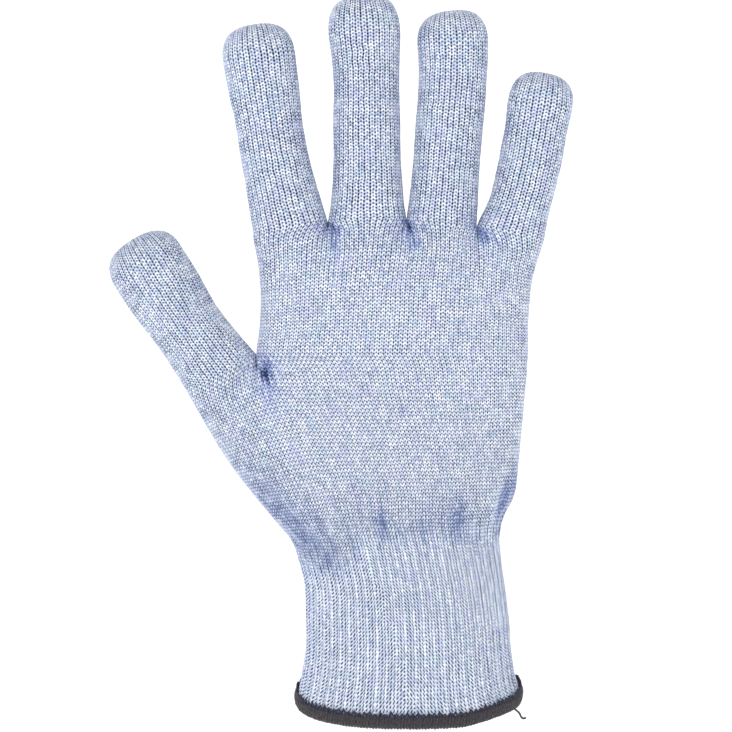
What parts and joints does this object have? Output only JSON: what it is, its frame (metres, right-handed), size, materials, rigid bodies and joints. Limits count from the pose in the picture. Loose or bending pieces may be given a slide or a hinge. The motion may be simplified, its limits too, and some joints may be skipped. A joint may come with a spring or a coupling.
{
  "type": "cut resistant glove",
  "caption": "Seamless knitted work glove for the right hand in its worn shape, uncoated, with a rib cuff and a dark overlocked hem.",
  "frame": {"origin": "the middle of the cuff's mouth, in the plane of the hem's lower edge", "axes": "+Z runs from the cuff's mouth to the fingertips, +X points to the little finger's side and away from the thumb, -Y is the back of the hand and +Y the palm"},
  "size_m": [0.153, 0.0514, 0.2409],
  "materials": {
    "shell_knit": "plain knit in white and pale blue marl yarn, matt, with darker gaps between the stitches",
    "rib_knit": "ribbed knit in the same marl yarn",
    "elastic_thread": "matt covered elastic thread",
    "overlock_thread": "dark twisted overlock thread, slightly lustrous"
  },
  "bodies": {
    "cuff": {"cuff_rib": "rib_knit", "cuff_elastic_threads": "elastic_thread", "hem_overlock_band": "overlock_thread", "hem_thread_tail": "overlock_thread", "wrist_fold": "shell_knit"},
    "lower_hand": {"lower_hand": "shell_knit", "knuckle_fold": "shell_knit", "thumb_base_fold": "shell_knit"},
    "upper_hand": {"upper_hand": "shell_knit", "index_finger_base_fold": "shell_knit", "middle_finger_base_fold": "shell_knit", "ring_finger_base_fold": "shell_knit", "little_finger_base_fold": "shell_knit"},
    "index_base": {"index_finger_base": "shell_knit", "index_finger_middle_fold": "shell_knit"},
    "index_middle": {"index_finger_middle": "shell_knit", "index_finger_tip_fold": "shell_knit"},
    "index_tip": {"index_finger_tip": "shell_knit"},
    "middle_base": {"middle_finger_base": "shell_knit", "middle_finger_middle_fold": "shell_knit"},
    "middle_middle": {"middle_finger_middle": "shell_knit", "middle_finger_tip_fold": "shell_knit"},
    "middle_tip": {"middle_finger_tip": "shell_knit"},
    "ring_base": {"ring_finger_base": "shell_knit", "ring_finger_middle_fold": "shell_knit"},
    "ring_middle": {"ring_finger_middle": "shell_knit", "ring_finger_tip_fold": "shell_knit"},
    "ring_tip": {"ring_finger_tip": "shell_knit"},
    "little_base": {"little_finger_base": "shell_knit", "little_finger_middle_fold": "shell_knit"},
    "little_middle": {"little_finger_middle": "shell_knit", "little_finger_tip_fold": "shell_knit"},
    "little_tip": {"little_finger_tip": "shell_knit"},
    "thumb_base": {"thumb_base": "shell_knit", "thumb_tip_fold": "shell_knit"},
    "thumb_tip": {"thumb_tip": "shell_knit"}
  },
  "joints": [
    {"name": "wrist_bend", "type": "hinge", "parent": "cuff", "child": "lower_hand", "pos_m": [-0.003, 0, 0.054], "axis": [-1, 0, 0], "range_deg": [-50, 60], "deforming": ["wrist_fold"]},
    {"name": "knuckle_row_bend", "type": "hinge", "parent": "lower_hand", "child": "upper_hand", "pos_m": [-0.005, 0, 0.137], "axis": [-1, 0, 0], "range_deg": [0, 45], "deforming": ["knuckle_fold"]},
    {"name": "index_base_bend", "type": "hinge", "parent": "upper_hand", "child": "index_base", "pos_m": [-0.04149, 0, 0.169], "axis": [-1, 0, 0], "range_deg": [0, 45], "deforming": ["index_finger_base_fold"]},
    {"name": "index_middle_bend", "type": "hinge", "parent": "index_base", "child": "index_middle", "pos_m": [-0.04519, 0, 0.19], "axis": [-1, 0, 0], "range_deg": [0, 90], "deforming": ["index_finger_middle_fold"]},
    {"name": "index_tip_bend", "type": "hinge", "parent": "index_middle", "child": "index_tip", "pos_m": [-0.04889, 0, 0.211], "axis": [-1, 0, 0], "range_deg": [0, 55], "deforming": ["index_finger_tip_fold"]},
    {"name": "middle_base_bend", "type": "hinge", "parent": "upper_hand", "child": "middle_base", "pos_m": [-0.01464, 0, 0.169], "axis": [-1, 0, 0], "range_deg": [0, 45], "deforming": ["middle_finger_base_fold"]},
    {"name": "middle_middle_bend", "type": "hinge", "parent": "middle_base", "child": "middle_middle", "pos_m": [-0.01525, 0, 0.1925], "axis": [-1, 0, 0], "range_deg": [0, 90], "deforming": ["middle_finger_middle_fold"]},
    {"name": "middle_tip_bend", "type": "hinge", "parent": "middle_middle", "child": "middle_tip", "pos_m": [-0.01587, 0, 0.216], "axis": [-1, 0, 0], "range_deg": [0, 55], "deforming": ["middle_finger_tip_fold"]},
    {"name": "ring_base_bend", "type": "hinge", "parent": "upper_hand", "child": "ring_base", "pos_m": [0.01087, 0, 0.169], "axis": [-1, 0, 0], "range_deg": [0, 45], "deforming": ["ring_finger_base_fold"]},
    {"name": "ring_middle_bend", "type": "hinge", "parent": "ring_base", "child": "ring_middle", "pos_m": [0.012, 0, 0.1905], "axis": [-1, 0, 0], "range_deg": [0, 90], "deforming": ["ring_finger_middle_fold"]},
    {"name": "ring_tip_bend", "type": "hinge", "parent": "ring_middle", "child": "ring_tip", "pos_m": [0.01318, 0, 0.213], "axis": [-1, 0, 0], "range_deg": [0, 55], "deforming": ["ring_finger_tip_fold"]},
    {"name": "little_base_bend", "type": "hinge", "parent": "upper_hand", "child": "little_base", "pos_m": [0.03603, 0, 0.169], "axis": [-1, 0, 0], "range_deg": [0, 45], "deforming": ["little_finger_base_fold"]},
    {"name": "little_middle_bend", "type": "hinge", "parent": "little_base", "child": "little_middle", "pos_m": [0.03952, 0, 0.1845], "axis": [-1, 0, 0], "range_deg": [0, 75], "deforming": ["little_finger_middle_fold"]},
    {"name": "little_tip_bend", "type": "hinge", "parent": "little_middle", "child": "little_tip", "pos_m": [0.04324, 0, 0.201], "axis": [-1, 0, 0], "range_deg": [0, 50], "deforming": ["little_finger_tip_fold"]},
    {"name": "thumb_base_bend", "type": "hinge", "parent": "lower_hand", "child": "thumb_base", "pos_m": [-0.0664, 0, 0.11735], "axis": [-0.8434, 0, -0.5373], "range_deg": [0, 40], "deforming": ["thumb_base_fold"]},
    {"name": "thumb_tip_bend", "type": "hinge", "parent": "thumb_base", "child": "thumb_tip", "pos_m": [-0.07876, 0, 0.13675], "axis": [-0.8434, 0, -0.5373], "range_deg": [0, 60], "deforming": ["thumb_tip_fold"]}
  ]
}
